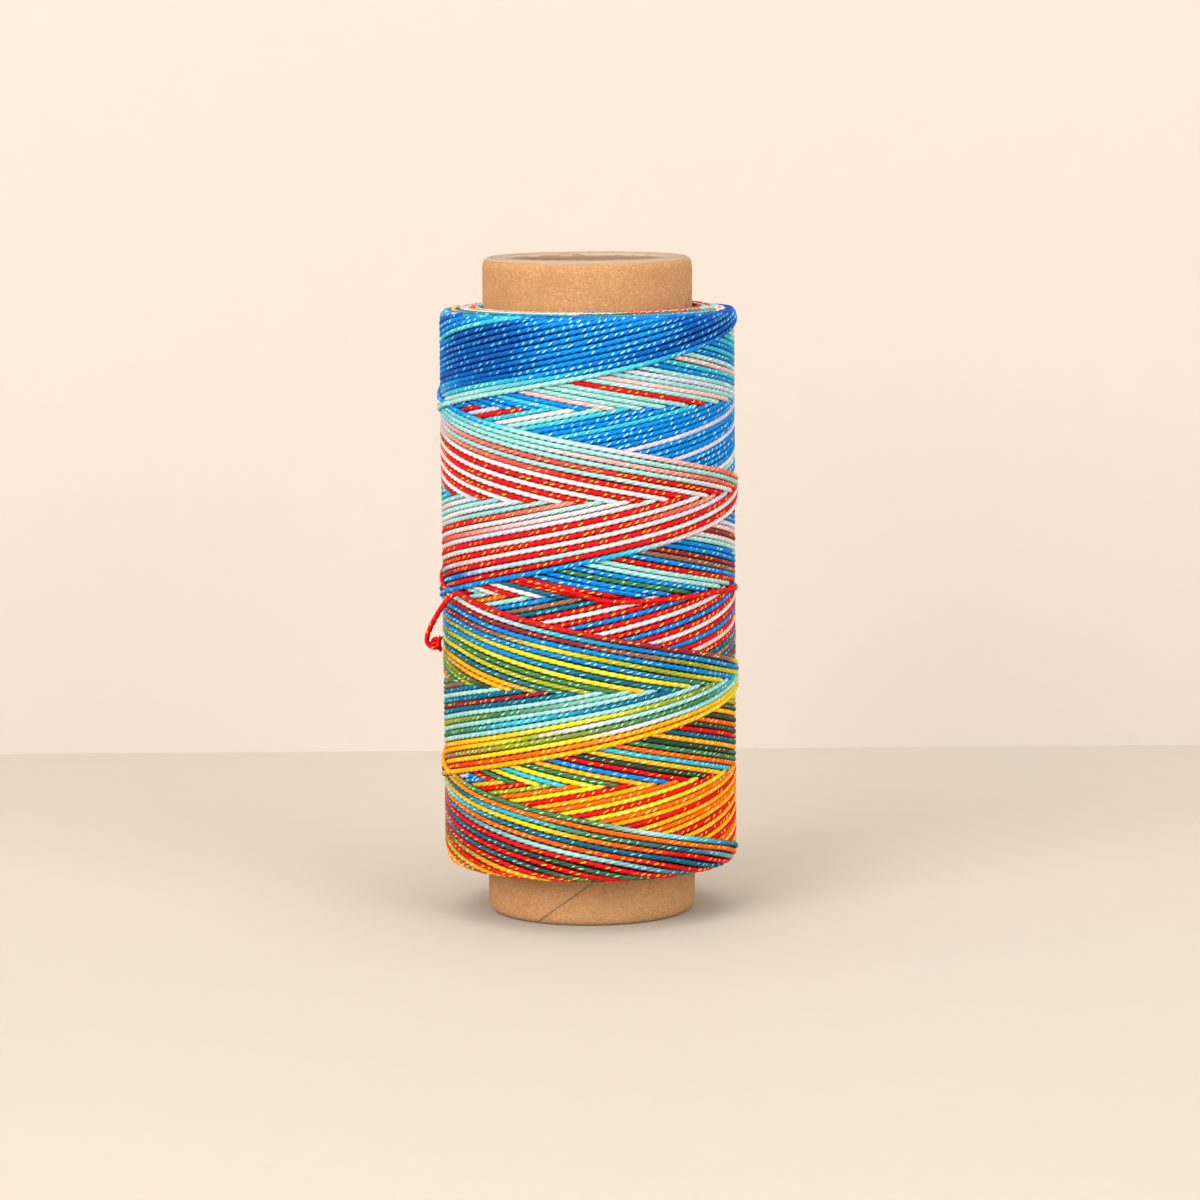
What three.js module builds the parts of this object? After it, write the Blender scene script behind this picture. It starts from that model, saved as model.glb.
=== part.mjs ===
import * as THREE from "three";

// A spool of waxed cord: a paper tube, the cord wound on it in crossing bands, and the cord's
// loose end, which lies along the newest band and hangs off it beside the winding.
// Millimetres, +Z up, the origin on the axis at the tube's bottom edge. An angle is measured
// about +Z from the front, which is -Y, and grows towards +X.

// Driving dimensions
const tubeLength = 70;
const tubeRadius = 11.1;
const tubeWall = 2.3;
const tubeOuterRound = 1.0;
const tubeInnerRound = 0.5;
const tubeSegments = 72;

const woundRadius = 15.7;
const woundClearance = 0.3;
const bandRise = 20;
const bandStep = 0.42;
const bandEdgeWidth = 0.33;
const crossingAngle = -72;
const crossingHeight = 55;
const topRound = { depth: 1.1, inset: 0.8 };
const bottomRound = { depth: 2.2, inset: 1.3 };
const endDip = 0.25;

const cordDiameter = 0.6;
const cordSides = 8;
const cordStepsPerPoint = 2;

// The winding's mesh is a lattice of lines that climb and fall with the cord, so that each
// band's edge is a line of it: one turn of a band crosses every line of the other family.
const linesPerTurn = 24;
const halfColumns = 2 * linesPerTurn;
const rowHeight = bandRise / halfColumns;
const lowestRow = -119;
const highestRow = 23;

function arcPoints(centreX, centreY, radius, fromDegrees, toDegrees, count) {
  const points = [];
  for (let step = 0; step <= count; step += 1) {
    const angle = THREE.MathUtils.degToRad(fromDegrees + ((toDegrees - fromDegrees) * step) / count);
    points.push(new THREE.Vector2(centreX + radius * Math.cos(angle), centreY + radius * Math.sin(angle)));
  }
  return points;
}

function finish(color, roughness) {
  return new THREE.MeshStandardMaterial({ color, roughness, metalness: 0 });
}

// The paper tube: a plain wall with its cut edges rounded over.
function makeTube() {
  const inner = tubeRadius - tubeWall;
  const outerTurn = tubeRadius - tubeOuterRound;
  const innerTurn = inner + tubeInnerRound;
  const profile = [
    ...arcPoints(innerTurn, tubeInnerRound, tubeInnerRound, 180, 270, 2),
    ...arcPoints(outerTurn, tubeOuterRound, tubeOuterRound, 270, 360, 4),
    ...arcPoints(outerTurn, tubeLength - tubeOuterRound, tubeOuterRound, 0, 90, 4),
    ...arcPoints(innerTurn, tubeLength - tubeInnerRound, tubeInnerRound, 90, 180, 2),
  ];
  profile.push(profile[0].clone());
  const geometry = new THREE.LatheGeometry(profile, tubeSegments);
  geometry.rotateX(Math.PI / 2);
  const tube = new THREE.Mesh(geometry, finish(0xd7a069, 0.85));
  tube.name = "tube";
  return tube;
}

// How far the wound cord draws in towards an end of the winding.
function roundedInset(distance, round) {
  if (distance >= round.depth) {
    return 0;
  }
  const share = 1 - distance / round.depth;
  return round.inset * (1 - Math.sqrt(1 - share * share));
}

function wrap(value) {
  return THREE.MathUtils.euclideanModulo(value, halfColumns);
}

// A point of the wound surface. The cord is laid in strokes that climb and fall by bandRise a
// turn, each a little further round than the last. The wound depth falls with the age of the
// newest climbing and falling turns over a point, and steps up at a band's edge.
function woundPoint(row, halfColumn) {
  const climbAge = wrap(row - halfColumn);
  const fallAge = wrap(-row - halfColumn);
  const oldest = halfColumns - 2;
  const edgeShift = 2 * rowHeight - bandEdgeWidth;
  let height = crossingHeight + row * rowHeight;
  const fromTop = (highestRow - row) * rowHeight;
  const fromBottom = (row - lowestRow) * rowHeight;
  if (fromTop > edgeShift && fromBottom > edgeShift) {
    height += climbAge === oldest ? edgeShift : 0;
    height -= fallAge === oldest ? edgeShift : 0;
  }
  const relief = (bandStep * (climbAge + fallAge)) / halfColumns;
  const inset = roundedInset(fromTop, topRound) + roundedInset(fromBottom, bottomRound);
  const radius = woundRadius - relief - inset;
  const angle = THREE.MathUtils.degToRad(crossingAngle + (wrap(halfColumn) * 360) / halfColumns);
  return new THREE.Vector3(radius * Math.sin(angle), -radius * Math.cos(angle), height);
}

// A point of the winding's end faces or of its bore.
function plainPoint(radius, height, halfColumn) {
  const angle = THREE.MathUtils.degToRad(crossingAngle + (wrap(halfColumn) * 360) / halfColumns);
  return new THREE.Vector3(radius * Math.sin(angle), -radius * Math.cos(angle), height);
}

// The wound cord: a turned ring whose outer rows are moved on to the wound surface.
function makeWinding() {
  const bore = tubeRadius + woundClearance;
  const top = crossingHeight + highestRow * rowHeight;
  const bottom = crossingHeight + lowestRow * rowHeight;
  const shoulder = (woundRadius - topRound.inset + bore) / 2;
  const rows = highestRow - lowestRow + 1;
  const ends = [
    new THREE.Vector2(shoulder, top - endDip / 2),
    new THREE.Vector2(bore, top - endDip),
    new THREE.Vector2(bore, bottom + endDip),
    new THREE.Vector2(shoulder, bottom + endDip / 2),
  ];
  const profile = [];
  for (let row = lowestRow; row <= highestRow; row += 1) {
    profile.push(new THREE.Vector2(woundRadius, crossingHeight + row * rowHeight));
  }
  profile.push(...ends, profile[0].clone());

  const geometry = new THREE.LatheGeometry(profile, linesPerTurn);
  const positions = geometry.attributes.position;
  for (let column = 0; column <= linesPerTurn; column += 1) {
    for (let index = 0; index < profile.length; index += 1) {
      const row = lowestRow + Math.min(index, rows - 1);
      const halfColumn = wrap(2 * column + row);
      const closing = index === profile.length - 1;
      let point = plainPoint(profile[index].x, profile[index].y, halfColumn);
      if (index < rows) {
        point = woundPoint(row, halfColumn);
      } else if (closing) {
        point = woundPoint(lowestRow, halfColumn);
      }
      positions.setXYZ(column * profile.length + index, point.x, point.y, point.z);
    }
  }
  geometry.computeVertexNormals();
  const winding = new THREE.Mesh(geometry, finish(0x2f7fc4, 0.55));
  winding.name = "winding";
  return winding;
}

// A route whose steps are close together where its points are, as at the bends of the end.
class HandLaidRoute extends THREE.CatmullRomCurve3 {
  getPointAt(share, target) {
    return this.getPoint(share, target);
  }

  getTangentAt(share, target) {
    return this.getTangent(share, target);
  }

  getSpacedPoints(divisions) {
    return this.getPoints(divisions);
  }
}

// The loose end lies on the winding first, just above the edge of a falling band.
const laidRoute = [
  { angle: 28, radius: 15.78, height: 30.02 },
  { angle: 20, radius: 15.76, height: 30.46 },
  { angle: 12, radius: 15.75, height: 30.9 },
  { angle: 4, radius: 15.73, height: 31.35 },
  { angle: -4, radius: 15.71, height: 31.8 },
  { angle: -12, radius: 15.7, height: 32.25 },
  { angle: -20, radius: 15.67, height: 32.7 },
  { angle: -28, radius: 15.65, height: 33.12 },
  { angle: -36, radius: 15.63, height: 33.58 },
  { angle: -44, radius: 15.62, height: 34.02 },
  { angle: -51, radius: 15.65, height: 34.48 },
  { angle: -56, radius: 15.8, height: 34.95 },
];

// Then it bends over and hangs free beside the winding, down to a small crook at its tip.
const freeRoute = [
  { x: -13.85, y: -8.3, z: 35.15 },
  { x: -14.45, y: -8.0, z: 34.8 },
  { x: -15.0, y: -7.5, z: 34.2 },
  { x: -15.55, y: -6.95, z: 33.5 },
  { x: -16.1, y: -6.35, z: 32.6 },
  { x: -16.55, y: -5.9, z: 31.75 },
  { x: -16.95, y: -5.5, z: 30.9 },
  { x: -17.2, y: -5.25, z: 30.15 },
  { x: -17.15, y: -5.1, z: 29.5 },
  { x: -16.7, y: -5.0, z: 29.25 },
  { x: -16.25, y: -5.0, z: 29.45 },
  { x: -15.95, y: -5.0, z: 29.15 },
  { x: -15.8, y: -5.0, z: 28.55 },
];

function makeLooseEnd() {
  const route = laidRoute.map(({ angle, radius, height }) => {
    const turn = THREE.MathUtils.degToRad(angle);
    return new THREE.Vector3(radius * Math.sin(turn), -radius * Math.cos(turn), height);
  });
  route.push(...freeRoute.map(({ x, y, z }) => new THREE.Vector3(x, y, z)));
  const path = new HandLaidRoute(route, false, "centripetal");
  const section = new THREE.Shape(arcPoints(0, 0, cordDiameter / 2, 0, 360, cordSides).slice(0, -1));
  const geometry = new THREE.ExtrudeGeometry(section, {
    steps: cordStepsPerPoint * (route.length - 1),
    curveSegments: 1,
    extrudePath: path,
  });
  const looseEnd = new THREE.Mesh(geometry, finish(0xe02418, 0.5));
  looseEnd.name = "loose_end";
  return looseEnd;
}

const spool = new THREE.Group();
spool.add(makeTube(), makeWinding(), makeLooseEnd());

export default spool;
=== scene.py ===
import math

import bmesh
import bpy
import numpy as np
from bpy.props import FloatProperty, FloatVectorProperty, PointerProperty
from mathutils import Matrix, Vector


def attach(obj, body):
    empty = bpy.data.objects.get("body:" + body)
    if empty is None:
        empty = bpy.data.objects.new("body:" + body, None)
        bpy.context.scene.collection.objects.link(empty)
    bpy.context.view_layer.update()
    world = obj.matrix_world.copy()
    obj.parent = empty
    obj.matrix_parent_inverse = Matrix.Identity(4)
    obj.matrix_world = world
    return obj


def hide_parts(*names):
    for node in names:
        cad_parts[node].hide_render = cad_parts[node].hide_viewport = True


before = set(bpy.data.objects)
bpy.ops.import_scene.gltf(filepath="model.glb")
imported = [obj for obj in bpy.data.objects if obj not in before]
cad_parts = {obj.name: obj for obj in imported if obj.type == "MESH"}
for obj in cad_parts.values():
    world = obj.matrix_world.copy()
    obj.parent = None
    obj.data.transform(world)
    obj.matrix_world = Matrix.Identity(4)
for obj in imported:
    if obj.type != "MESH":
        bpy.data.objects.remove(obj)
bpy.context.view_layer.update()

bl_info = {
    "name": "Spool of waxed cord",
    "version": (1, 0, 0),
    "blender": (4, 5, 0),
    "location": "View3D > Sidebar > Cord spool",
    "description": "Dresses the spool: wound and loose cord, paper tube and a plain stage",
    "category": "Object",
}

MM = 0.001

# How the cord is wound, in millimetres and degrees. Angles run about +Z from the front and grow
# towards +X. A rising turn climbs by LEAD in a revolution and a falling turn drops as much, and
# LAYER turns lie side by side in that height.
LEAD = 20
LAYER = 34
PITCH = LEAD / LAYER
DEGREES_A_MM = 360 / LEAD
ARC_A_DEGREE = 0.278
LOW_EDGE = 5.417
HIGH_EDGE = 64.583
LOW_LAG = 7.2
HIGH_LAG = 12.5
TRAVERSE_FOOT = 5.4
STROKES = 118.4
DYE_REPEAT = 477.1

# The newest turn of each kind: its height at the front, and the angles where it comes out from
# under newer turns and where it goes under them again. Each older turn does so a little earlier.
RISING_AT_FRONT = 19.0
FALLING_AT_FRONT = 51.0
COMES_OUT = 110.7
RISING_GOES_UNDER = 290.7
FALLING_GOES_UNDER = 285.3

# The oldest turns in sight lie this much deeper than the newest, once for rising and once for
# falling turns. The winding's edges are rounded over a height and by a depth.
BAND_DEPTH = 0.32
TOP_ROUND = (1.2, 0.85)
FOOT_ROUND = (1.7, 1.1)

# The stretch of the newest falling turn that passes the first of these angles is the loose end
# as far as the second, where the wound run begins.
LOOSE_END_PASSES = 380
LOOSE_END_LEAVES = 388.4

# The angle at the right outline, where a turn's height chooses its order of old colours, and the
# first turn that counts as old.
SIDE = 93
FIRST_OLD_TURN = 6

# The paper tube in millimetres, with its seam's height at the front and its climb a degree.
TUBE_BORE = 8.8
TUBE_OUTSIDE = 11.1
TUBE_HEIGHT = 70
SEAM_AT_FRONT = 4.6
SEAM_CLIMB = 0.14

# The photograph's focal length and width in its pixels.
FOCAL_PIXELS = 4376
PHOTO_PIXELS = 1200

# The dye repeat of the cord, charted: a colour and where it is reached, in millimetres of
# the traverse along the tube, each of which takes up 5 mm of cord.
DYE_CHART = """
teal 0.5, teal 3, darkgreen 5, green 8, amber 10, amber 16, lemon 17.4, olive 18.1, white 19,
mint 20.5, mint 27, azure 29, azure 33.4, turquoise 34.4, pink 36, white 38, white 41, lilac 43,
white 46, mint 48.5, mint 53, turquoise 54.6, azure 56, royal 57, royal 58, azure 59, azure 61,
royal 62, royal 63.5, azure 64.6, azure 67, royal 67.8, royal 69.4, azure 70.4, azure 72,
turquoise 73.5, mint 75, mint 79.5, white 81.5, white 92.4, turquoise 93.4, azure 94.6,
azure 102, teal 104, teal 107, green 110, olive 113, amber 115, lemon 117, orange 118.2,
red 120, red 131, brown 133, olive 135.5, green 138.5, green 140, turquoise 141.5, teal 143.5,
teal 147, turquoise 151, maroon 152.8, red 154.5, red 166, coral 168, pink 170, white 171.5,
azure 173.4, royal 174.4, royal 175.6, azure 176.4, azure 178.6, royal 179.4, royal 181.4,
azure 182.2, azure 184.6, royal 185.2, royal 187.2, azure 188, azure 189,
turquoise 190.5, mint 192.6, mint 194.6,
pink 196, coral 198.5, red 201.5, red 211.5, maroon 213, maroon 215.6, brown 217, olive 218.4,
lemon 220.5, lemon 223, olive 226, olive 229, darkgreen 231, teal 232.6, turquoise 234,
green 236, teal 238, mint 241, teal 244, darkgreen 246.5, olive 249, amber 251, lemon 253.6,
lemon 254.8, white 255.8, mint 257.4, mint 268, azure 270, azure 271.8, lilac 272.8, mint 274.2,
white 276, white 284.5, mint 287, mint 290, turquoise 291.4, turquoise 293, azure 294.2, royal 296.8,
royal 299, azure 300, azure 302.4, royal 303, royal 305, azure 306, azure 307.6,
turquoise 309.5, mint 312, mint 319.6, white 321.6, white 331, turquoise 333,
azure 334.6, azure 340, green 342.4, green 346, amber 349, orange 351.5, orange 358,
red 361, red 368.6, orange 371.5, amber 375, lemon 378.4, olive 380.4, green 382.6, mint 385.6,
teal 388, red 389.6, red 399.6, coral 401.4, pink 403, white 404.6, white 407, lilac 408.6,
mint 410, turquoise 412, azure 413.4, royal 414.6, royal 416.8, azure 418, azure 420.2, royal 421,
royal 423, azure 424, azure 428, turquoise 429.2, mint 430,
lilac 432, pink 433, coral 434.6, red 438.4, red 450, maroon 452, maroon 454, brown 455.2,
lemon 456.4, olive 458.8, lemon 461, lemon 463.4, amber 465, amber 467, green 468.6,
green 471.4, mint 472.8, turquoise 474, teal 475.4
"""

# Older turns show beside each new band and keep one order of colours there: the height that each
# order starts at, and its colours from the newest turn on.
OLD_RISING = (
    (0, "amber red amber orange red amber red amber red amber orange amber red amber orange"
        " lemon red lemon orange amber red lemon orange olive red amber azure lilac"),
    (15.8, "mint teal brown green mint teal maroon teal"),
    (25.8, "red teal maroon teal brown teal red pink red azure red white red azure red white"
           " red azure red white red teal brown azure mint orange mint red"),
    (35.8, "white red white azure mint red white red"),
    (45.4, "azure azure mint white azure azure azure azure lilac azure azure azure lilac azure"
           " azure azure azure turquoise azure azure turquoise mint white turquoise red lilac"
           " red azure"),
    (55.8, "azure azure azure azure azure azure azure turquoise azure azure royal azure azure"),
)
OLD_FALLING = (
    (0, "teal red darkgreen orange red teal amber orange red amber"),
    (14.6, "lemon amber olive darkgreen amber darkgreen orange darkgreen red teal amber"
           " darkgreen green orange turquoise amber darkgreen red azure amber green lemon"
           " turquoise lemon green red azure lilac"),
    (24.6, "azure lemon azure maroon teal olive azure amber"),
    (34.6, "maroon azure azure lilac pink maroon white mint azure azure maroon brown azure red"
           " mint mint azure green azure azure red red teal white red white mint orange"),
    (44.6, "white red mint white red white mint coral"),
    (54.6, "mint mint turquoise turquoise azure turquoise azure mint pink turquoise azure mint"
           " lilac mint pink mint red mint mint mint pink azure turquoise azure azure azure"
           " azure azure"),
)

# The end of the cord, as the CAD has it: the part laid on the winding as angle, radius and height,
# and then the free part as x, y and z, all in millimetres and degrees.
LAID_END = (
    (28, 15.78, 30.02), (20, 15.76, 30.46), (12, 15.75, 30.9), (4, 15.73, 31.35),
    (-4, 15.71, 31.8), (-12, 15.7, 32.25), (-20, 15.67, 32.7), (-28, 15.65, 33.12),
    (-36, 15.63, 33.58), (-44, 15.62, 34.02), (-51, 15.65, 34.48), (-56, 15.8, 34.95),
)
FREE_END = (
    (-13.85, -8.3, 35.15), (-14.45, -8.0, 34.8), (-15.0, -7.5, 34.2), (-15.55, -6.95, 33.5),
    (-16.1, -6.35, 32.6), (-16.55, -5.9, 31.75), (-16.95, -5.5, 30.9), (-17.2, -5.25, 30.15),
    (-17.15, -5.1, 29.5), (-16.7, -5.0, 29.25), (-16.25, -5.0, 29.45), (-15.95, -5.0, 29.15),
    (-15.8, -5.0, 28.55),
)

# The small knot near its tip: a bight round the cord and a stub that stands out of it.
KNOT = (
    ((-17.05, -5.0, 29.35), (-16.75, -5.15, 29.08), (-16.3, -5.3, 28.98), (-15.98, -5.25, 29.25),
     (-16.0, -5.05, 29.72), (-16.35, -4.8, 29.88), (-16.65, -4.62, 29.55), (-16.4, -4.5, 29.15),
     (-16.05, -4.6, 28.9)),
    ((-16.5, -4.7, 29.2), (-16.15, -4.8, 29.5), (-15.9, -4.95, 29.85), (-15.75, -4.9, 30.15)),
)

# The level red turn that was wound last, as angle and height.
LEVEL_TURN = (
    (-33, 37.75), (-27, 37.3), (-20, 36.9), (-10.9, 36.3), (-6.5, 36.06), (-2, 35.68),
    (4.8, 35.16), (11.6, 34.99), (20.9, 34.94), (31, 34.95), (42.5, 35.0), (57.1, 35.05),
    (70.2, 34.95), (90, 34.6), (120, 34.5), (160, 34.45), (200, 34.5), (230, 34.7), (252, 35.0),
)


def linear(colour):
    """A screen colour from 0 to 1 as the linear light that shaders work in."""
    return [c / 12.92 if c <= 0.04045 else ((c + 0.055) / 1.055) ** 2.4 for c in colour]


def screen_colour(name, description, default):
    """A colour that a user may change."""
    return FloatVectorProperty(name=name, description=description, default=default, size=3,
                               subtype="COLOR_GAMMA", min=0, max=1)


class CordSettings(bpy.types.PropertyGroup):
    """The cord that is wound on the tube."""

    diameter: FloatProperty(
        name="Diameter", description="Across the crowns of the cord's plies",
        default=0.0006, min=0.0003, max=0.001, unit="LENGTH", subtype="DISTANCE", precision=5)
    lay: FloatProperty(
        name="Lay", description="Length of cord in which its three plies make one turn",
        default=0.0027, min=0.001, max=0.008, unit="LENGTH", subtype="DISTANCE", precision=4)
    radius: FloatProperty(
        name="Wound radius", description="From the tube's axis to the newest turns",
        default=0.01595, min=0.012, max=0.02, unit="LENGTH", subtype="DISTANCE", precision=5)
    roughness: FloatProperty(
        name="Roughness", description="How dull the wax is", default=0.42, min=0.1, max=1.0,
        subtype="FACTOR")


class DyeSettings(bpy.types.PropertyGroup):
    """The dye colours of the cord."""

    royal: screen_colour("Royal", "Deep blue", (0.0, 0.36, 0.7))
    azure: screen_colour("Azure", "Bright blue", (0.0, 0.54, 0.85))
    turquoise: screen_colour("Turquoise", "Blue green", (0.22, 0.75, 0.84))
    mint: screen_colour("Mint", "Pale green blue", (0.62, 0.85, 0.83))
    lilac: screen_colour("Lilac", "Pale violet", (0.81, 0.81, 0.89))
    white: screen_colour("White", "Undyed cord", (0.88, 0.86, 0.86))
    pink: screen_colour("Pink", "Pale red", (0.92, 0.75, 0.74))
    coral: screen_colour("Coral", "Half strength red", (0.93, 0.45, 0.38))
    red: screen_colour("Red", "Full strength red", (0.87, 0.02, 0.035))
    maroon: screen_colour("Maroon", "Red over blue", (0.6, 0.16, 0.18))
    orange: screen_colour("Orange", "Red over yellow", (0.97, 0.42, 0.03))
    amber: screen_colour("Amber", "Deep yellow", (0.98, 0.7, 0.02))
    lemon: screen_colour("Lemon", "Clear yellow", (0.92, 0.85, 0.12))
    olive: screen_colour("Olive", "Yellow over green", (0.62, 0.66, 0.15))
    green: screen_colour("Green", "Blue over yellow", (0.27, 0.5, 0.33))
    teal: screen_colour("Teal", "Deep green blue", (0.05, 0.42, 0.54))
    darkgreen: screen_colour("Dark green", "Deepest green", (0.17, 0.3, 0.25))
    brown: screen_colour("Brown", "Red over green", (0.6, 0.41, 0.33))


# The tinsel filament takes its own tone on each dye, painted as the bright colour of its glint.
GLINTS = {
    "royal": (0.45, 0.85, 0.95), "azure": (0.78, 0.97, 1.0), "turquoise": (0.86, 1.0, 0.98),
    "mint": (0.95, 1.0, 0.98), "lilac": (0.98, 0.98, 1.0), "white": (1.0, 1.0, 0.98),
    "pink": (1.0, 0.95, 0.88), "coral": (1.0, 0.86, 0.5), "red": (1.0, 0.86, 0.25),
    "maroon": (0.93, 0.82, 0.4), "orange": (1.0, 0.92, 0.45), "amber": (1.0, 0.96, 0.6),
    "lemon": (1.0, 1.0, 0.8), "olive": (0.93, 0.95, 0.6), "green": (0.75, 0.95, 0.7),
    "teal": (0.5, 0.9, 0.88), "darkgreen": (0.78, 0.84, 0.45), "brown": (0.93, 0.86, 0.6),
}


class StageSettings(bpy.types.PropertyGroup):
    """The paper tube and the stage."""

    kraft: screen_colour("Kraft paper", "Colour of the paper tube", (0.79, 0.58, 0.375))
    floor: screen_colour("Floor", "Colour of the floor", (0.768, 0.728, 0.675))
    backdrop: screen_colour("Backdrop", "Colour of the wall behind", (0.83, 0.78, 0.735))


def place(angle, radius, height):
    """A point in metres from an angle in degrees and a radius and height in millimetres."""
    turn = np.radians(angle)
    return np.stack([radius * np.sin(turn), -radius * np.cos(turn),
                     height + 0 * turn], axis=-1) * MM


def smooth_step(low, high, value):
    """0 at low and 1 at high, with an easy start and finish."""
    step = np.clip((value - low) / (high - low), 0, 1)
    return step * step * (3 - 2 * step)


def drift(height):
    """How far the bands lie from an even climb, in millimetres."""
    heights = [5.4, 7, 11, 15, 19, 22, 26.3, 31, 35, 39, 46, 51, 55, 59, 62, 64.6]
    shifts = [0, 0.6, 0.85, 0.55, 0.65, 0.7, 0.3, 0, 0.05, 0.25, 0.25, 0.2, -0.15, -0.6, -0.5, 0]
    return np.interp(height, heights, shifts)


def relief(angle, height):
    """Depth of the turns in sight below the wound radius, in millimetres."""
    rising_age = np.mod(height - RISING_AT_FRONT - angle / DEGREES_A_MM, LEAD) / LEAD
    falling_age = np.mod(FALLING_AT_FRONT - angle / DEGREES_A_MM - height, LEAD) / LEAD
    return BAND_DEPTH * (rising_age + falling_age)


def round_over(height):
    """How far the winding's two edges are rounded inwards at a height, in millimetres."""
    top_tall, top_deep = TOP_ROUND
    foot_tall, foot_deep = FOOT_ROUND
    top = np.clip((height - (HIGH_EDGE - top_tall)) / top_tall, 0, 0.995)
    foot = np.clip((LOW_EDGE + foot_tall - height) / foot_tall, 0, 0.995)
    return (top_deep * (1 - np.sqrt(1 - top ** 2))
            + foot_deep * (1 - np.sqrt(1 - foot ** 2)))


class DyeRepeat:
    """Gives the dye and tinsel colours at any place along the cord."""

    def __init__(self, dyes):
        self.dye = {n: np.array(linear(getattr(dyes, n))) for n in GLINTS}
        self.glint = {n: np.array(linear(c)) for n, c in GLINTS.items()}
        stops = [entry.split() for entry in DYE_CHART.replace("\n", " ").split(",")]
        self.names = [name for name, _ in stops]
        self.at = np.array([float(at) for _, at in stops])

    def along(self, travel):
        """Both colours at places along the repeat."""
        travel = np.mod(travel, DYE_REPEAT)
        at = np.concatenate([[self.at[-1] - DYE_REPEAT], self.at, [self.at[0] + DYE_REPEAT]])
        names = [self.names[-1], *self.names, self.names[0]]
        colours = []
        for table in (self.dye, self.glint):
            stops = np.array([table[n] for n in names])
            colours.append(np.stack([np.interp(travel, at, stops[:, c]) for c in range(3)], -1))
        return colours

    def old(self, orders, turn, height):
        """Both colours of an older turn, by the charted order for its height."""
        chosen = [order for low, order in orders if low <= height][-1].split()
        name = chosen[(turn - FIRST_OLD_TURN) % len(chosen)]
        return self.dye[name], self.glint[name]


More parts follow.
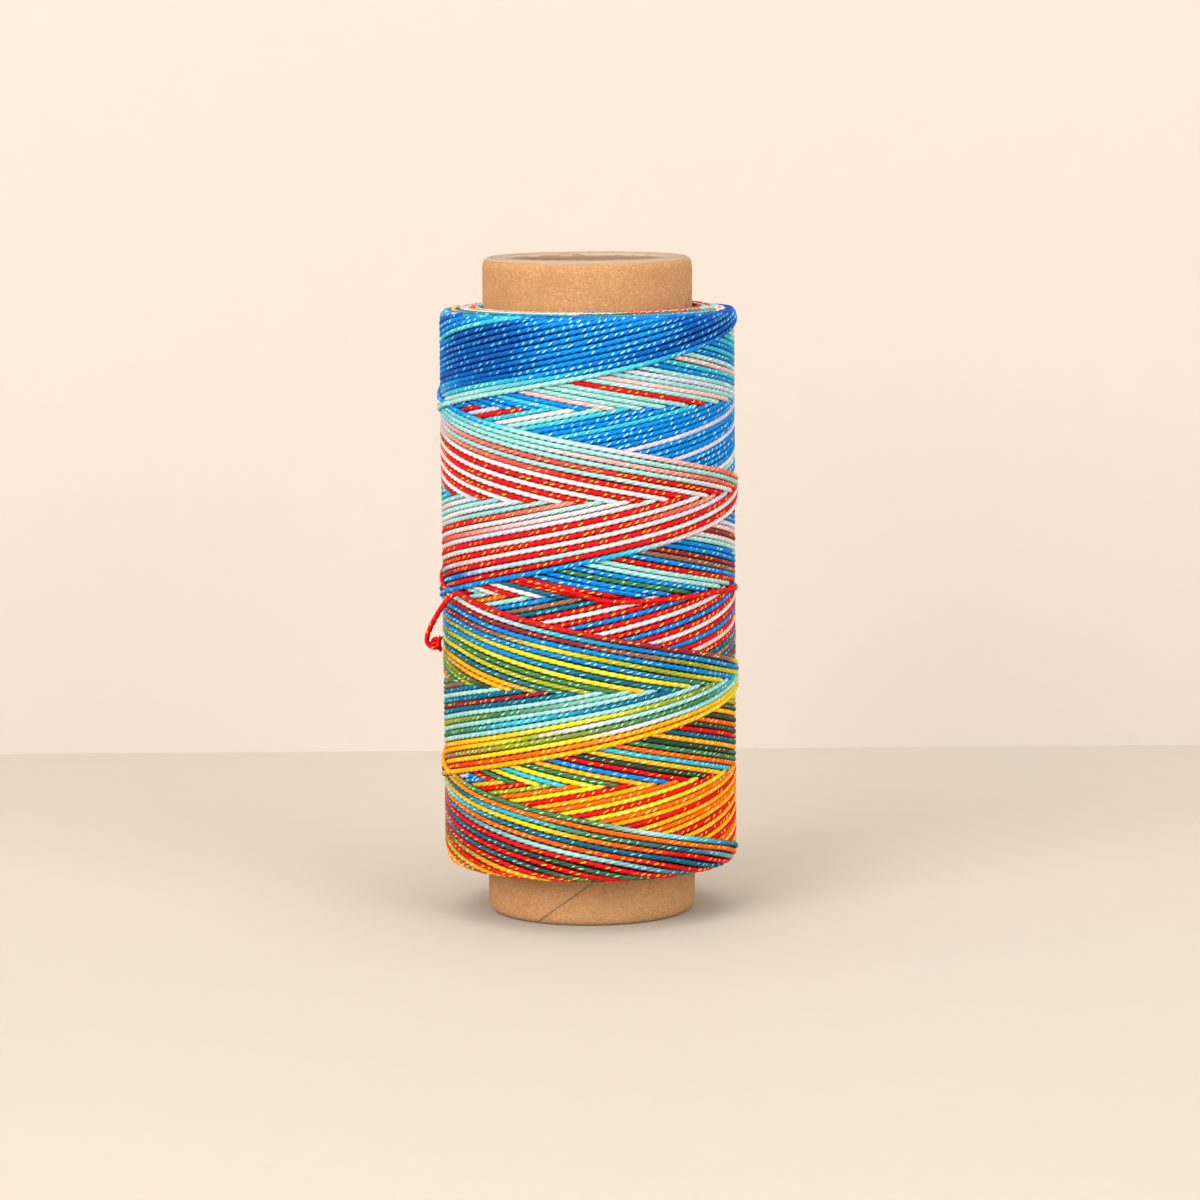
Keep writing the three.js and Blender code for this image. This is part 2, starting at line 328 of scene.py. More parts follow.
class CordPiece:
    """Collects twisted cord runs and makes one mesh of them.

    A run is swept as rings of three crowns and three valleys, STEP millimetres apart.
    """

    SIDES = 9
    STEP = 0.27
    VALLEY = 0.78
    RUN_OFFSET = 120

    def __init__(self, cord):
        self.crown = cord.diameter / 2
        self.valley = self.crown * self.VALLEY
        self.lay = cord.lay
        self.points, self.faces, self.dye, self.glint = [], [], [], []
        self.fibre, self.spot = [], []
        self.count = 0
        self.runs = 0

    def run(self, path, outward, dye, glint, phase=0.0, open_end=False, slim=None):
        """Adds one run of cord along path. outward is the side that faces away from the spool."""
        sides = self.SIDES
        path = np.asarray(path)
        tangent = np.gradient(path, axis=0)
        tangent /= np.linalg.norm(tangent, axis=1)[:, None]
        out = outward - (outward * tangent).sum(1)[:, None] * tangent
        out /= np.linalg.norm(out, axis=1)[:, None]
        up = np.cross(out, tangent)
        length = np.concatenate([[0], np.cumsum(np.linalg.norm(np.diff(path, axis=0), axis=1))])
        spin = 2 * np.pi * (length / self.lay + phase)
        around = np.arange(sides) * 2 * np.pi / sides
        crown = np.where(np.arange(sides) % 3 == 0, 0.0, 1.0)
        reach = self.valley + (self.crown - self.valley) * crown
        reach = np.broadcast_to(reach, (len(path), sides))
        if slim is not None:
            reach = reach * slim[:, None]
        angle = spin[:, None] + around[None, :]
        ring = (path[:, None, :] + reach[..., None] * (
            np.cos(angle)[..., None] * out[:, None, :] + np.sin(angle)[..., None] * up[:, None, :]))
        rings = len(path)
        verts = np.concatenate([ring.reshape(-1, 3), path[:1], path[-1:]])
        index = np.arange(rings * sides).reshape(rings, sides) + self.count
        ahead = np.roll(index, -1, axis=1)
        quads = np.stack([index[:-1], index[1:], ahead[1:], ahead[:-1]], -1).reshape(-1, 4)
        first = self.count + rings * sides
        start = np.stack([np.full(sides, first), index[0], ahead[0]], -1)
        end = np.stack([np.full(sides, first + 1), ahead[-1], index[-1]], -1)
        self.points.append(verts)
        self.faces.append((quads, np.concatenate([start, end])))
        for store, colour in ((self.dye, dye), (self.glint, glint)):
            full = np.repeat(colour, sides, axis=0)
            store.append(np.concatenate([full, colour[:1], colour[-1:]]))
        travel = length / MM + self.RUN_OFFSET * self.runs
        wrapped = np.mod(angle + np.pi, 2 * np.pi) - np.pi
        spot = np.stack([wrapped, np.broadcast_to(crown, wrapped.shape),
                         np.broadcast_to(travel[:, None], wrapped.shape)], -1).reshape(-1, 3)
        fibre = np.stack([np.broadcast_to(np.cos(around), wrapped.shape),
                          np.broadcast_to(np.sin(around), wrapped.shape),
                          np.broadcast_to(travel[:, None], wrapped.shape)], -1).reshape(-1, 3)
        self.spot.append(np.concatenate([spot, spot[:1], spot[-1:]]))
        self.fibre.append(np.concatenate([fibre, fibre[:1], fibre[-1:]]))
        self.count += len(verts)
        self.runs += 1

    def build(self, name, material):
        """Makes the mesh of every run so far, with its dye and lie kept as attributes."""
        points = np.concatenate(self.points)
        quads = np.concatenate([f[0] for f in self.faces])
        caps = np.concatenate([f[1] for f in self.faces])
        mesh = bpy.data.meshes.new(name)
        mesh.vertices.add(len(points))
        mesh.vertices.foreach_set("co", points.astype(np.float32).ravel())
        corners = np.concatenate([quads.ravel(), caps.ravel()]).astype(np.int32)
        sizes = np.concatenate([np.full(len(quads), 4), np.full(len(caps), 3)])
        starts = np.concatenate([[0], np.cumsum(sizes)[:-1]]).astype(np.int32)
        mesh.loops.add(len(corners))
        mesh.loops.foreach_set("vertex_index", corners)
        mesh.polygons.add(len(sizes))
        mesh.polygons.foreach_set("loop_start", starts)
        mesh.update(calc_edges=True)
        mesh.shade_smooth()
        for key, rows in (("dye", self.dye), ("glint", self.glint)):
            colour = np.concatenate(rows)
            full = np.concatenate([colour, np.ones((len(colour), 1))], axis=1)
            layer = mesh.attributes.new(key, "FLOAT_COLOR", "POINT")
            layer.data.foreach_set("color", full.astype(np.float32).ravel())
        for key, rows in (("fibre", self.fibre), ("spot", self.spot)):
            layer = mesh.attributes.new(key, "FLOAT_VECTOR", "POINT")
            layer.data.foreach_set("vector", np.concatenate(rows).astype(np.float32).ravel())
        if mesh.validate():
            raise RuntimeError(f"{name}: its mesh had to be mended")
        return link_piece(name, mesh, material)


class Value:
    """A shader socket that takes part in Python sums. Each operator adds one Math node."""

    def __init__(self, paint, socket):
        self.paint = paint
        self.socket = socket

    def maths(self, operation, *others):
        return self.paint.node("ShaderNodeMath", {"operation": operation}, [self, *others])

    def __add__(self, other):
        return self.maths("ADD", other)

    __radd__ = __add__

    def __mul__(self, other):
        return self.maths("MULTIPLY", other)

    __rmul__ = __mul__

    def __sub__(self, other):
        return self.maths("SUBTRACT", other)

    def __rsub__(self, other):
        return self.paint.node("ShaderNodeMath", {"operation": "SUBTRACT"}, [other, self])

    def __truediv__(self, other):
        return self.maths("DIVIDE", other)

    def __pow__(self, other):
        return self.maths("POWER", other)

    def size(self):
        return self.maths("ABSOLUTE")

    def rounded(self):
        return self.maths("ROUND")

    def below(self, limit, soft):
        """1 where the value is under the limit, falling to 0 across soft."""
        return self.paint.ramp(self, limit + soft / 2, limit - soft / 2)

    def above(self, limit, soft):
        """1 where the value is over the limit, falling to 0 across soft."""
        return self.paint.ramp(self, limit - soft / 2, limit + soft / 2)


class Paint:
    """Makes one procedural material."""

    def __init__(self, name):
        self.material = bpy.data.materials.new(name)
        self.material.use_nodes = True
        self.tree = self.material.node_tree
        self.shader = self.tree.nodes["Principled BSDF"]

    def connect(self, socket, value):
        if isinstance(value, Value):
            self.tree.links.new(value.socket, socket)
        else:
            socket.default_value = value

    def node(self, kind, settings=None, sockets=(), output=0):
        """Adds a node: its settings first, then its sockets by place or name."""
        node = self.tree.nodes.new(kind)
        for key, setting in (settings or {}).items():
            setattr(node, key, setting)
        pairs = sockets.items() if isinstance(sockets, dict) else enumerate(sockets)
        for key, value in pairs:
            self.connect(node.inputs[key], value)
        return Value(self, node.outputs[output])

    def ramp(self, value, low, high):
        """0 at low and 1 at high, with an easy start and finish."""
        return self.node("ShaderNodeMapRange", {"interpolation_type": "SMOOTHSTEP"},
                         {"Value": value, "From Min": low, "From Max": high})

    def attribute(self, name, output):
        return self.node("ShaderNodeAttribute", {"attribute_name": name}, (), output)

    def parts(self, vector):
        """The three numbers of a vector."""
        split = self.node("ShaderNodeSeparateXYZ", {}, [vector])
        outputs = split.socket.node.outputs
        return [Value(self, outputs[i]) for i in range(3)]

    def vector(self, x, y, z):
        return self.node("ShaderNodeCombineXYZ", {}, [x, y, z])

    def scaled(self, vector, by):
        return self.node("ShaderNodeVectorMath", {"operation": "MULTIPLY"}, [vector, by])

    def noise(self, vector, scale, detail=2.0, rough=0.5):
        return self.node("ShaderNodeTexNoise", {}, {
            "Vector": vector, "Scale": scale, "Detail": detail, "Roughness": rough})

    def chance(self, vector):
        return self.node("ShaderNodeTexWhiteNoise", {"noise_dimensions": "3D"},
                         {"Vector": vector})

    def mix(self, mask, first, second, blend="MIX"):
        """Mixes two colours by a mask."""
        return self.node("ShaderNodeMix", {"data_type": "RGBA", "blend_type": blend},
                         {0: mask, 6: first, 7: second}, 2)

    def bump(self, height, distance, strength=1.0):
        return self.node("ShaderNodeBump", {}, {
            "Height": height, "Distance": distance, "Strength": strength})

    def set(self, **values):
        """Sets the shader's own sockets and gives back the material."""
        for key, value in values.items():
            name = key.replace("_", " ").title().replace("Ior", "IOR")
            self.connect(self.shader.inputs[name], value)
        return self.material


def cord_material(name, cord):
    """Waxed cord: dyed plies with painted shade in their valleys and between turns, fine filaments
    with a painted sheen, and tinsel dashes with painted glints.
    """
    paint = Paint(name)
    dye = paint.attribute("dye", 0)
    glint = paint.attribute("glint", 0)
    fibre = paint.attribute("fibre", 1)
    spot = paint.attribute("spot", 1)
    lie, crown, travel = paint.parts(spot)
    ply = cord.lay / 3 / MM
    strands = paint.noise(paint.scaled(fibre, (5.0, 5.0, 0.9)), 2.2, 3.0, 0.6)
    patches = paint.noise(paint.scaled(fibre, (0.4, 0.4, 0.25)), 1.0, 2.0, 0.5)
    rounded = 1 - (1 - crown) ** 2
    gap_shade = lie.size().above(1.25, 0.7)
    # Painted sheen: the dye is lightened along random streaks of the filaments.
    dye_with_sheen = paint.mix(strands.above(0.5, 0.5) * 0.22, dye, (1.0, 1.0, 1.0, 1.0), "SOFT_LIGHT")
    # Painted shade in the ply valleys: the dye is multiplied by itself, most in the valleys.
    shaded = paint.mix((1 - rounded) * 0.5, dye_with_sheen, dye, "MULTIPLY")
    shaded = paint.mix(patches.below(0.46, 0.2) * 0.2, shaded, dye, "MULTIPLY")
    # Painted shade on the cord's flanks, where turns meet: the dye is multiplied by itself and then
    # by a near black.
    shaded = paint.mix(gap_shade * 0.8, shaded, dye, "MULTIPLY")
    shaded = paint.mix(gap_shade * 0.3, shaded, (0.12, 0.1, 0.13, 1.0), "MULTIPLY")
    turn = (travel / ply).rounded()
    seed = paint.vector(turn, turn * 0.37 + 1.7, 4.1)
    found = paint.chance(seed)
    nudge = paint.chance(paint.vector(turn * 0.73 + 9.2, turn, 2.3))
    along = (travel - turn * ply - (nudge - 0.5) * 0.4) * (found * 1.6 + 0.1)
    spell = paint.noise(paint.vector(travel * 0.16, 0.0, 7.7), 1.0, 1.0, 0.5)
    across = lie * (cord.diameter / 2 / MM) - along * 0.62 - (found - 0.5) * 0.16
    dash = across.size().below(0.07, 0.05) * along.size().below(0.19, 0.12)
    dash = dash * found.above(0.34, 0.1) * spell.above(0.4, 0.08)
    # The tinsel dashes: their bright colour is a painted glint, and the emission adds a faint
    # painted glow.
    lit = paint.mix(dash * 0.92, shaded, glint)
    shine = paint.mix(dash, (0, 0, 0, 1), glint)
    height = rounded * 0.5 + strands * 0.35 + dash * 0.15
    return paint.set(
        base_color=lit, roughness=(1 - dash) * (cord.roughness - 0.2) + strands * 0.12 + 0.14,
        specular_ior_level=0.14, emission_color=shine, emission_strength=0.22,
        normal=paint.bump(height, 0.00005, 0.8))


def core_material(name):
    """The cord's shaded depths, seen only between turns."""
    paint = Paint(name)
    here = paint.node("ShaderNodeTexCoord", {}, (), "Object")
    depth = paint.noise(paint.scaled(here, (1.0, 1.0, 3.0)), 900.0, 3.0, 0.6)
    colour = paint.mix(depth, (0.01, 0.012, 0.025, 1), (0.05, 0.03, 0.045, 1))
    return paint.set(base_color=colour, roughness=0.8, normal=paint.bump(depth, 0.0001))


def link_piece(name, mesh, material):
    """Makes an object of a mesh and puts it in the scene."""
    mesh.materials.append(material)
    piece = bpy.data.objects.new(name, mesh)
    bpy.context.scene.collection.objects.link(piece)
    return piece


def turn_profile(mesh, profile, steps):
    """Spins a closed profile of radius and height about the tube's axis."""
    verts = [mesh.verts.new((0, -r * MM, z * MM)) for r, z in profile]
    edges = [mesh.edges.new((a, b)) for a, b in zip(verts, verts[1:] + verts[:1])]
    bmesh.ops.spin(mesh, geom=verts + edges, cent=(0, 0, 0), axis=(0, 0, 1),
                   angle=math.tau, steps=steps, use_merge=True)
    bmesh.ops.recalc_face_normals(mesh, faces=mesh.faces[:])


def settle(piece, slot, *nodes):
    """Sets a finished piece on the one body, for the nodes that it stands for."""
    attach(piece, "root")
    if nodes:
        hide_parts(*nodes)
    return piece


def spline_points(knots, spacing):
    """Even points on a smooth line through the knots."""
    knots = np.asarray(knots, dtype=float)
    padded = np.concatenate([2 * knots[:1] - knots[1:2], knots, 2 * knots[-1:] - knots[-2:-1]])
    line = []
    for a, b, c, d in zip(padded[:-3], padded[1:-2], padded[2:-1], padded[3:]):
        for t in np.linspace(0, 1, 12, endpoint=False):
            line.append(0.5 * (2 * b + (c - a) * t + (2 * a - 5 * b + 4 * c - d) * t * t
                               + (3 * b - a - 3 * c + d) * t ** 3))
    line.append(knots[-1])
    line = np.array(line)
    length = np.concatenate([[0], np.cumsum(np.linalg.norm(np.diff(line, axis=0), axis=1))])
    count = max(3, int(round(length[-1] / spacing)) + 1)
    even = np.linspace(0, length[-1], count)
    return np.stack([np.interp(even, length, line[:, i]) for i in range(3)], -1)


def away_from_axis(path):
    """The level direction from the tube's axis at each point."""
    outward = np.array(path)
    outward[:, 2] = 0
    return outward / np.linalg.norm(outward, axis=1)[:, None]


class Winder:
    """Works out where each turn of the winding lies and how much of it shows."""

    def __init__(self, cord, dyes):
        self.cord = cord
        self.repeat = DyeRepeat(dyes)
        self.chance = np.random.default_rng(7)
        self.pieces = {key: CordPiece(cord) for key in ("low", "middle", "high")}

    def height(self, turn, angle, rising):
        """The height of a turn, with its rounded returns at both ends, and its even height."""
        way = 1 if rising else -1
        front = RISING_AT_FRONT if rising else FALLING_AT_FRONT
        even = front + way * (PITCH * turn + angle / DEGREES_A_MM)
        to_top = HIGH_EDGE + HIGH_LAG / DEGREES_A_MM - even
        to_foot = even - LOW_EDGE + LOW_LAG / DEGREES_A_MM
        bent = even - (np.sqrt(to_top ** 2 + 0.98) - to_top)
        return bent + np.sqrt(to_foot ** 2 + 0.45) - to_foot, even

    def spans(self, turn, rising):
        """The stretches of a turn that newer turns leave in sight.

        Each is its start and end angle, whether it starts and ends at an edge of the winding,
        and the number of its half revolution.
        """
        front = RISING_AT_FRONT if rising else FALLING_AT_FRONT
        way = 1 if rising else -1
        foot = LOW_EDGE - LOW_LAG / DEGREES_A_MM
        top = HIGH_EDGE + HIGH_LAG / DEGREES_A_MM
        low = (foot - front - way * PITCH * turn) * way * DEGREES_A_MM
        high = (top - front - way * PITCH * turn) * way * DEGREES_A_MM
        first, last = min(low, high), max(low, high)
        goes_under = RISING_GOES_UNDER if rising else FALLING_GOES_UNDER
        for half in range(-4, 6):
            start = COMES_OUT - DEGREES_A_MM / 2 * PITCH * turn + 180 * half
            end = goes_under - DEGREES_A_MM * PITCH * turn + 180 * half
            if end - start < 3 or end < first or start > last:
                continue
            yield max(start, first), min(end, last), start < first, end > last, half

    def wind(self, rising):
        """Lays every turn of one layer, the newest first."""
        for turn in range(LAYER):
            sway = self.chance.uniform(-1, 1, 8)
            for start, end, from_edge, to_edge, half in self.spans(turn, rising):
                self.lay_run(turn, start, end, from_edge, to_edge, half, rising, sway)

    def lay_run(self, turn, start, end, from_edge, to_edge, half, rising, sway):
        """Lays one stretch in sight, with both its ends tucked under newer turns."""
        if not rising and turn == 0 and start < LOOSE_END_PASSES < end:
            self.lay_run(turn, LOOSE_END_LEAVES, end, None, to_edge, half, rising, sway)
            return
        before = 0 if from_edge is None else 7 if from_edge else 4.2
        after = 8 if to_edge else 4.6
        arc = (end - start + before + after) * ARC_A_DEGREE
        count = max(4, int(arc / CordPiece.STEP))
        angle = np.linspace(start - before, end + after, count)
        bent, even = self.height(turn, angle, rising)
        wave = (0.035 * sway[0] * np.sin(np.radians(angle * 3.1 + 90 * sway[1]))
                + 0.025 * sway[2] * np.sin(np.radians(angle * 7.3 + 180 * sway[3])))
        lie = bent + drift(bent) + wave
        if not rising:
            front = np.mod(angle + 180, 360) - 180
            near = np.exp(-((even - 31.5) / 4.5) ** 4) * smooth_step(-80, -60, front)
            lie = lie + 0.5 * near * smooth_step(110, 80, front)
        own = turn / LAYER
        other = np.clip((end - angle) / 180 + own, 0, 1)
        radius = self.cord.radius / MM - BAND_DEPTH * (own + other) - round_over(bent)
        radius = radius - 0.13 * np.minimum(0, np.sin(np.radians(angle)))
        radius = radius - self.cord.diameter / 2 / MM + 0.02 * sway[4]
        dive = 0.52 * smooth_step(-2.2, 4.4, angle - end)
        rise = 0.2 * smooth_step(1.0, -3.6, angle - start)
        if to_edge:
            dive = 0.7 * smooth_step(-9, 8, angle - end)
        if from_edge is None:
            rise = -0.41 * smooth_step(22, 0, angle - start)
        radius = radius - dive - rise
        path = place(angle, radius, lie)
        travel = even - TRAVERSE_FOOT if rising else TRAVERSE_FOOT - even
        dye, glint = self.repeat.along(travel - STROKES * turn)
        if turn >= FIRST_OLD_TURN:
            side = 1 if half % 2 == 0 else -1
            junction = 180 * half + 90 + side * (6 + 14 * abs(sway[6]))
            orders = OLD_RISING if rising else OLD_FALLING
            middle = float(np.interp(180 * half + SIDE, angle, even))
            old_dye, old_glint = self.repeat.old(orders, turn, middle)
            aged = smooth_step(4, -4, angle - junction)[:, None]
            if rising and (turn >= 13 and middle > 50 or turn >= 11 and 14 < middle < 28):
                aged = np.ones_like(aged)
            dye = dye * (1 - aged) + old_dye * aged
            glint = glint * (1 - aged) + old_glint * aged
        tone = 1 + 0.06 * sway[5]
        key = "low" if even.mean() < 25 else "middle" if even.mean() < 45 else "high"
        self.pieces[key].run(path, away_from_axis(path), np.clip(dye * tone, 0, 1), glint,
                             phase=float(self.chance.uniform()))


class SPOOL_OT_loose_end(bpy.types.Operator):
    """Lay the last stretch of cord on the winding and hang its free end"""

    bl_idname = "spool.loose_end"
    bl_label = "Loose end"

    def execute(self, context):
        cord = context.scene.spool_cord
        laid = np.array([place(a, r, z) for a, r, z in LAID_END])
        knots = np.concatenate([laid, np.array(FREE_END) * MM])
        path = spline_points(knots, 0.00022)
        self.piece = CordPiece(cord)
        repeat = DyeRepeat(context.scene.spool_dyes)
        share = np.linspace(0, 1, len(path))[:, None]
        red, maroon = repeat.dye["red"], repeat.dye["maroon"]
        fade = smooth_step(0.42, 0.04, share)
        dye = red * (1 - fade) + maroon * fade
        glint = np.broadcast_to(repeat.glint["red"], dye.shape)
        slim = np.ones(len(path))
        slim[-3:] = (0.96, 0.82, 0.5)
        self.piece.run(path, away_from_axis(path), dye, glint, slim=slim)
        for knots in KNOT:
            turn = spline_points(np.array(knots) * MM, 0.00022)
            self.piece.run(turn, away_from_axis(turn), dye[-len(turn):], glint[-len(turn):],
                           slim=np.linspace(1, 0.8, len(turn)))
        piece = self.piece.build("loose_end_cord", cord_material("red waxed cord", cord))
        settle(piece, "red_cord", "loose_end")
        return {"FINISHED"}


class SPOOL_OT_turns(bpy.types.Operator):
    """Wind the rising and falling turns that show"""

    bl_idname = "spool.turns"
    bl_label = "Wound turns"

    def execute(self, context):
        cord = context.scene.spool_cord
        material = cord_material("dyed waxed cord", cord)
        for rising in (True, False):
            winder = Winder(cord, context.scene.spool_dyes)
            winder.wind(rising)
            for key, piece in winder.pieces.items():
                name = f"{'rising' if rising else 'falling'}_turns_{key}"
                settle(piece.build(name, material), "dyed_cord")
        return {"FINISHED"}


class SPOOL_OT_edge_turns(bpy.types.Operator):
    """Lay the turned cord that shows on the winding's two flat ends"""

    bl_idname = "spool.edge_turns"
    bl_label = "End turns"

    def execute(self, context):
        cord = context.scene.spool_cord
        repeat = DyeRepeat(context.scene.spool_dyes)
        chance = np.random.default_rng(19)
        material = cord_material("end turns cord", cord)
        for name, face, way in (("top_turns", HIGH_EDGE, -1), ("bottom_turns", LOW_EDGE, 1)):
            piece = CordPiece(cord)
            rows = np.arange(11.72, 15.2 if way < 0 else 14.9, 0.5)
            for row in rows:
                angle = chance.uniform(0, 360)
                stop = angle + 360
                while angle < stop - 20:
                    sweep = min(chance.uniform(45, 120), stop - angle + 6)
                    count = max(6, int((sweep + 12) * row * 0.01745 / CordPiece.STEP))
                    turn = np.linspace(-6, sweep + 6, count)
                    lean = chance.uniform(-0.3, 0.3)
                    radius = row + lean * (turn / sweep - 0.5) + 0.05 * np.sin(turn / 9)
                    sink = 0.45 * (smooth_step(4, -5, turn) + smooth_step(-4, 5, turn - sweep))
                    slope = 0.25 * (1 - (row - 11.4) / 3.5)
                    edge = round_over(face + way * 0.02) * smooth_step(14.2, 15.4, row) * 0.5
                    if way < 0:
                        slope = -0.2 * smooth_step(14.4, 13.2, row)
                    height = face + way * (0.3 + slope + edge + sink)
                    path = place(angle + turn, radius, height)
                    travel = chance.uniform(0, DYE_REPEAT) + turn * 0.05
                    dye, glint = repeat.along(travel)
                    up = np.broadcast_to(np.array([0.0, 0.0, -float(way)]), path.shape)
                    piece.run(path, up, dye * 0.9, glint, phase=float(chance.uniform()))
                    angle += sweep
            settle(piece.build(name, material), "dyed_cord")
        return {"FINISHED"}


class SPOOL_OT_level_turn(bpy.types.Operator):
    """Pass the last red turn level round the winding"""

    bl_idname = "spool.level_turn"
    bl_label = "Level turn"

    def execute(self, context):
        cord = context.scene.spool_cord
        repeat = DyeRepeat(context.scene.spool_dyes)
        knots = spline_points([(a, z, 0) for a, z in LEVEL_TURN], 0.9)
        angle, height = knots[:, 0], knots[:, 1]
        radius = (cord.radius / MM - relief(angle, height)) - 0.03
        radius = np.convolve(np.pad(radius, 12, mode="edge"), np.ones(25) / 25, mode="valid")
        radius -= 0.55 * smooth_step(-26, -32, angle) + 0.6 * smooth_step(240, 251, angle)
        path = place(angle, radius, height)
        path = spline_points(path[::3], CordPiece.STEP * MM)
        count = len(path)
        dye = np.broadcast_to(repeat.dye["red"], (count, 3))
        glint = np.broadcast_to(repeat.glint["red"], (count, 3))
        piece = CordPiece(cord)
        piece.run(path, away_from_axis(path), dye, glint, phase=0.3)
        settle(piece.build("level_turn", cord_material("level turn cord", cord)), "red_cord")
        return {"FINISHED"}


class SPOOL_OT_core(bpy.types.Operator):
    """Make the solid heart of the winding under its visible turns"""

    bl_idname = "spool.core"
    bl_label = "Winding core"

    def execute(self, context):
        depth = context.scene.spool_cord.radius / MM - 0.42
        mesh = bmesh.new()
        profile = [(11.3, 6.0), (11.3, 64.0), (depth - 0.9, 64.0), (depth - 0.45, 63.6),
                   (depth - 0.4, 62.0)]
        profile += [(depth - 0.4, z) for z in range(60, 8, -2)]
        profile += [(depth - 0.5, 8.0), (depth - 1.0, 6.6), (depth - 1.6, 6.0)]
        turn_profile(mesh, profile, 120)
        for vert in mesh.verts:
            flat = vert.co.xy
            reach = flat.length / MM
            if reach > 14.4:
                angle = math.degrees(math.atan2(flat.x, -flat.y))
                low = float(relief(np.array(angle), np.array(vert.co.z / MM)))
                flat = flat * ((reach - 0.75 * low) / reach)
                vert.co.x, vert.co.y = flat.x, flat.y
        data = bpy.data.meshes.new("winding_core")
        mesh.to_mesh(data)
        mesh.free()
        data.shade_smooth()
        piece = link_piece("winding_core", data, core_material("shaded cord"))
        settle(piece, "dyed_cord", "winding")
        return {"FINISHED"}


class SPOOL_OT_tube(bpy.types.Operator):
    """Roll the paper tube with its spiral seam"""

    bl_idname = "spool.tube"
    bl_label = "Paper tube"

    def execute(self, context):
        mesh = bmesh.new()
        foot = [(TUBE_BORE, 0.6), (8.95, 0.22), (9.3, 0.02), (9.5, 0), (10.2, 0), (10.5, 0.05),
                (10.85, 0.25), (11.03, 0.6), (TUBE_OUTSIDE, 1.1)]
        outer = [(TUBE_OUTSIDE, z) for z in np.linspace(1.1, 68.9, 114)[1:-1]]
        top = [(r, TUBE_HEIGHT - z) for r, z in reversed(foot)]
        inner = [(TUBE_BORE, z) for z in np.linspace(69.4, 0.6, 60)[1:-1]]
        profile = foot + outer + top + inner
        turn_profile(mesh, profile, 288)
        for vert in mesh.verts:
            x, y, z = vert.co
            reach = math.hypot(x, y) / MM
            angle = math.degrees(math.atan2(x, -y))
            height = z / MM
            off = (angle - (height - SEAM_AT_FRONT) / SEAM_CLIMB + 180) % 360 - 180
            new = angle
            sink = 0.0
            if reach > 10.9:
                near = abs(off)
                if near < 6:
                    new = angle - off * (1 - near / 6) * 0.72
                sink = 0.11 * math.exp(-(off / 1.3) ** 2) - 0.035 * math.exp(-((off + 5) / 5) ** 2)
                sink += 0.02 * math.sin(math.radians(3 * angle) + height * 0.11)
            turn = math.radians(new)
            reach -= sink
            vert.co = (reach * math.sin(turn) * MM, -reach * math.cos(turn) * MM, z)
        data = bpy.data.meshes.new("paper_tube")
        mesh.to_mesh(data)
        mesh.free()
        data.shade_smooth()
        piece = link_piece("paper_tube", data, self.paper(context.scene.spool_stage))
        settle(piece, "kraft_paper", "tube")
        return {"FINISHED"}

    def paper(self, stage):
        """Kraft paper outside and in, and a paler cut edge."""
        paint = Paint("kraft paper")
        here = paint.node("ShaderNodeTexCoord", {}, (), "Object")
        x, y, z = paint.parts(here)
        reach = paint.node("ShaderNodeVectorMath", {"operation": "LENGTH"},
                           [paint.vector(x, y, 0.0)], 1)
        specks = paint.noise(here, 3400.0, 4.0, 0.6)
        tangle = (paint.noise(here, 2700.0, 2.0, 0.55) - 0.5).size()
        fibres = tangle.below(0.035, 0.03)
        knots = (paint.noise(here, 2100.0, 2.0, 0.5) - 0.47).size().below(0.022, 0.02)
        clouds = paint.noise(here, 260.0, 3.0, 0.6)
        kraft = linear(stage.kraft)
        dark = [c * 0.66 for c in kraft] + [1.0]
        pale = [min(1.0, c * 1.34) for c in kraft] + [1.0]
        colour = paint.mix(specks.above(0.52, 0.34) * 0.68, (*kraft, 1.0), dark)
        colour = paint.mix(knots * 0.75, colour, dark)
        colour = paint.mix(fibres * 0.6, colour, pale)
        colour = paint.mix(clouds.above(0.55, 0.4) * 0.3, colour, dark)
        above = z.above(0.0695, 0.0005) + z.below(0.0004, 0.0006)
        angle = paint.node("ShaderNodeMath", {"operation": "ARCTAN2"}, [x, 0.0 - y]) * 57.29578
        off = angle - (z * 1000.0 - SEAM_AT_FRONT) / SEAM_CLIMB
        seam = (off - (off / 360.0).rounded() * 360.0).size().below(0.75, 0.7)
        seam = seam * reach.above(0.0108, 0.0001)
        edge = above * reach.above(0.0088, 0.0002) * reach.below(0.0109, 0.0005)
        layers = paint.noise(paint.vector(reach * 9000.0, 0.0, clouds * 3.0), 1.0, 3.0, 0.7)
        cut = paint.mix(layers.above(0.5, 0.3), (0.56, 0.42, 0.29, 1), (0.3, 0.2, 0.12, 1))
        colour = paint.mix(edge, colour, cut)
        inside = reach.below(0.0091, 0.0002) * (1 - edge)
        colour = paint.mix(inside, colour, (0.3, 0.2, 0.13, 1))
        colour = paint.mix(seam * 0.75, colour, (0.16, 0.1, 0.06, 1))
        height = specks * 0.5 + fibres * 0.35 + layers * edge
        return paint.set(base_color=colour, roughness=specks * 0.15 + 0.72,
                         normal=paint.bump(height, 0.00012, 0.7))


class SPOOL_OT_camera(bpy.types.Operator):
    """Set the camera at the photograph's angle"""

    bl_idname = "spool.camera"
    bl_label = "Camera"

    def execute(self, context):
        data = bpy.data.cameras.new("camera")
        data.sensor_width = 36
        data.lens = 36 * FOCAL_PIXELS / PHOTO_PIXELS
        data.clip_start = 0.01
        camera = bpy.data.objects.new("camera", data)
        tilt = Matrix.Rotation(math.radians(90 - 7.2), 4, "X")
        roll = Matrix.Rotation(math.radians(-0.44), 4, "Z")
        camera.matrix_world = Matrix.Translation((0.00111, -0.464, 0.0919)) @ tilt @ roll
        context.scene.collection.objects.link(camera)
        context.scene.camera = camera
        return {"FINISHED"}


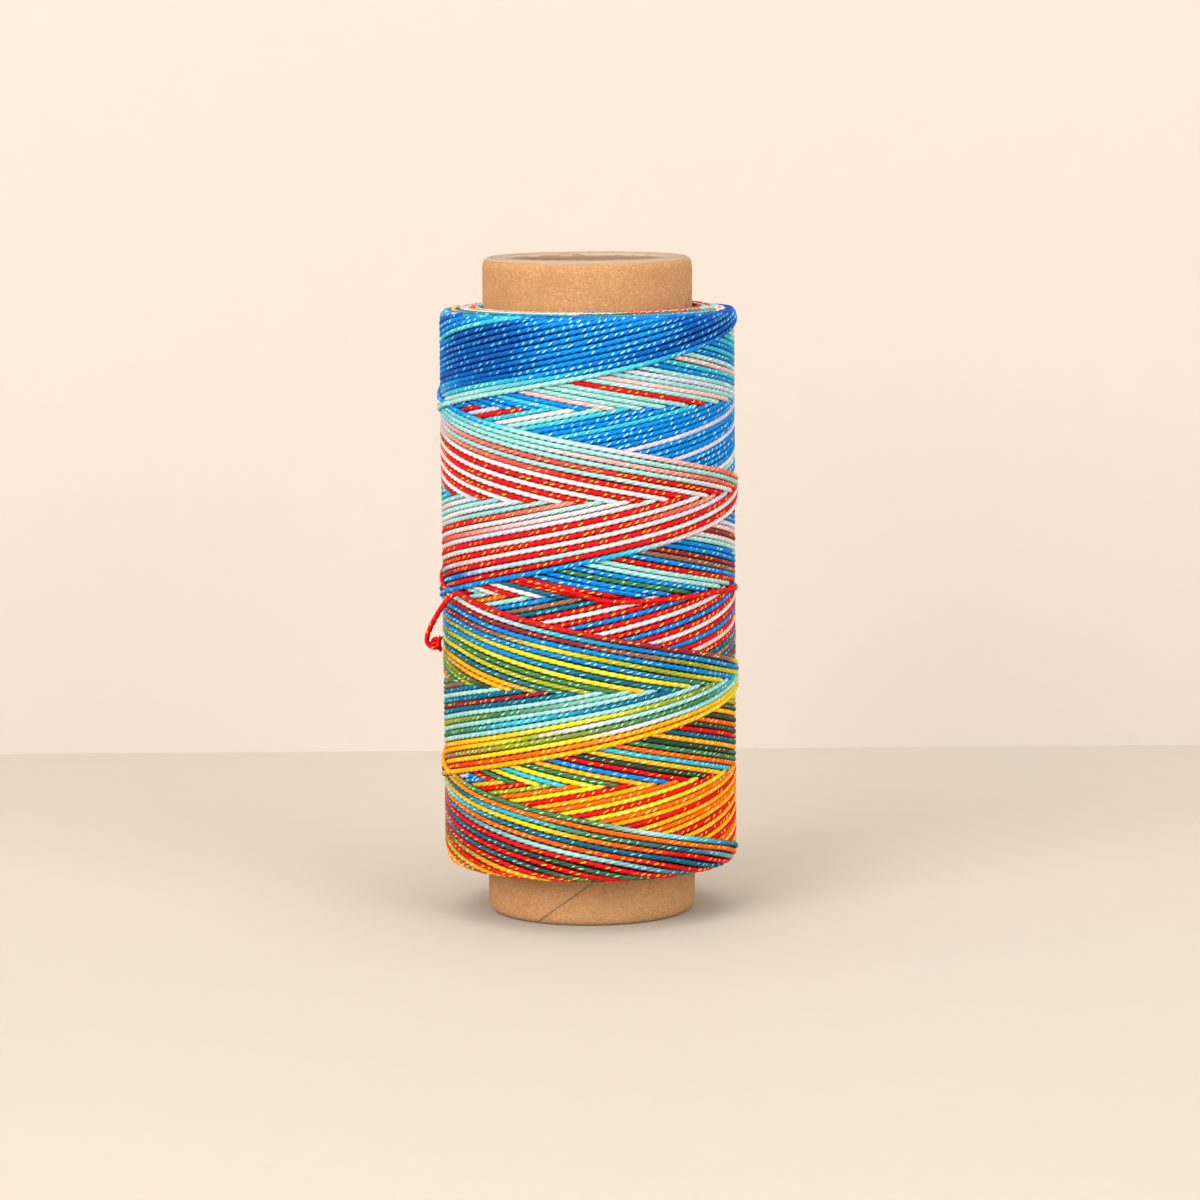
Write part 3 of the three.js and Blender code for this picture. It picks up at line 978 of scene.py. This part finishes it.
class SPOOL_OT_stage(bpy.types.Operator):
    """Make the plain floor, the wall behind and the soft studio light"""

    bl_idname = "spool.stage"
    bl_label = "Stage"

    def execute(self, context):
        stage = context.scene.spool_stage
        self.sheet("floor", stage.floor, Matrix.Translation((0, -0.6, 0)), 1.5)
        wall = Matrix.Translation((0, 0.106, 0.3)) @ Matrix.Rotation(math.pi / 2, 4, "X")
        self.sheet("backdrop", stage.backdrop, wall, 1.5)
        self.light("left softbox", (-0.4, -0.6, 0.46), 0.5, 4.95)
        self.light("right softbox", (0.5, -0.6, 0.42), 0.46, 2.75)
        self.light("overhead", (0.0, -0.1, 0.8), 0.6, 2.5)
        world = bpy.data.worlds.new("studio")
        world.use_nodes = True
        back = world.node_tree.nodes["Background"]
        back.inputs["Color"].default_value = (1.0, 0.97, 0.94, 1)
        back.inputs["Strength"].default_value = 0.72
        context.scene.world = world
        context.scene.view_settings.view_transform = "Standard"
        return {"FINISHED"}

    def sheet(self, name, colour, where, size):
        """A flat sheet of the stage with a faint grain."""
        mesh = bmesh.new()
        bmesh.ops.create_grid(mesh, x_segments=2, y_segments=2, size=size, matrix=where)
        data = bpy.data.meshes.new(name)
        mesh.to_mesh(data)
        mesh.free()
        paint = Paint(name)
        here = paint.node("ShaderNodeTexCoord", {}, (), "Object")
        grain = paint.noise(here, 180.0, 3.0, 0.6)
        base = linear(colour)
        tone = paint.mix(grain * 0.5, (*base, 1.0), [c * 0.95 for c in base] + [1.0])
        material = paint.set(base_color=tone, roughness=0.75)
        # The sheet is seen from its face alone, so that the spool shows from behind the wall.
        solid = Value(paint, paint.shader.outputs[0])
        behind = paint.node("ShaderNodeNewGeometry", {}, (), "Backfacing")
        clear = paint.node("ShaderNodeBsdfTransparent")
        shown = paint.node("ShaderNodeMixShader", {}, [behind, solid, clear])
        paint.connect(paint.tree.nodes["Material Output"].inputs["Surface"], shown)
        link_piece(name, data, material)

    def light(self, name, where, size, power):
        """A square softbox turned towards the spool's middle."""
        data = bpy.data.lights.new(name, "AREA")
        data.size = size
        data.energy = power
        lamp = bpy.data.objects.new(name, data)
        lamp.location = where
        aim = Vector((0, 0, 0.035)) - Vector(where)
        lamp.rotation_euler = aim.to_track_quat("-Z", "Y").to_euler()
        bpy.context.scene.collection.objects.link(lamp)


class SPOOL_PT_panel(bpy.types.Panel):
    """The spool's pieces in the order that they are made"""

    bl_idname = "SPOOL_PT_panel"
    bl_label = "Cord spool"
    bl_space_type = "VIEW_3D"
    bl_region_type = "UI"
    bl_category = "Cord spool"

    def draw(self, context):
        for settings in (context.scene.spool_cord, context.scene.spool_stage,
                         context.scene.spool_dyes):
            box = self.layout.box()
            for key in settings.__annotations__:
                box.prop(settings, key)
        for operator in OPERATORS:
            self.layout.operator(operator.bl_idname)


SETTINGS = (CordSettings, DyeSettings, StageSettings)
OPERATORS = (
    SPOOL_OT_camera, SPOOL_OT_loose_end, SPOOL_OT_core, SPOOL_OT_turns, SPOOL_OT_edge_turns,
    SPOOL_OT_level_turn, SPOOL_OT_tube, SPOOL_OT_stage,
)


def register():
    for item in (*SETTINGS, *OPERATORS, SPOOL_PT_panel):
        bpy.utils.register_class(item)
    bpy.types.Scene.spool_cord = PointerProperty(type=CordSettings)
    bpy.types.Scene.spool_dyes = PointerProperty(type=DyeSettings)
    bpy.types.Scene.spool_stage = PointerProperty(type=StageSettings)


def unregister():
    del bpy.types.Scene.spool_stage
    del bpy.types.Scene.spool_dyes
    del bpy.types.Scene.spool_cord
    for item in reversed((*SETTINGS, *OPERATORS, SPOOL_PT_panel)):
        bpy.utils.unregister_class(item)


def main():
    register()
    for operator in OPERATORS:
        group, name = operator.bl_idname.split(".")
        getattr(getattr(bpy.ops, group), name)()


if __name__ == "__main__":
    main()
